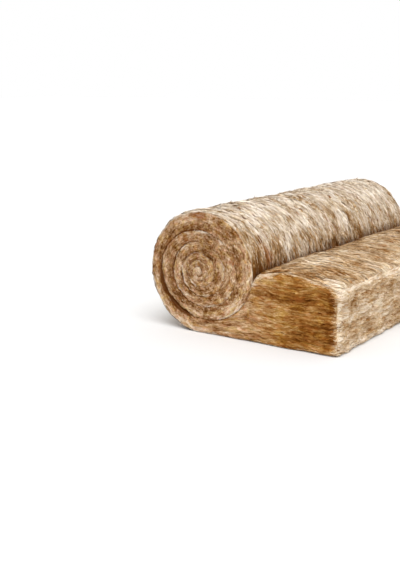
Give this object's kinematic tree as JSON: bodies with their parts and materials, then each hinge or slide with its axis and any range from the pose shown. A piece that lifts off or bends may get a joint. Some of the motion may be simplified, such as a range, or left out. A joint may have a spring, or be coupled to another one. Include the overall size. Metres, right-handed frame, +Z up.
{
  "type": "insulation roll",
  "caption": "Rolled mineral wool insulation blanket lying on its side, with its free end unrolled flat and sprung back to full thickness.",
  "frame": {"origin": "centre of the blanket's footprint, on the floor that it lies on", "axes": "+Y along the axis of the roll, +X from the roll towards the cut end of the blanket, +Z up"},
  "size_m": [0.66, 1.14, 0.3799],
  "materials": {
    "wool": "matte fluffy glass mineral wool, tan on the cut faces and cream on the skin"
  },
  "bodies": {
    "root": {"wool_blanket": "wool"}
  },
  "joints": []
}
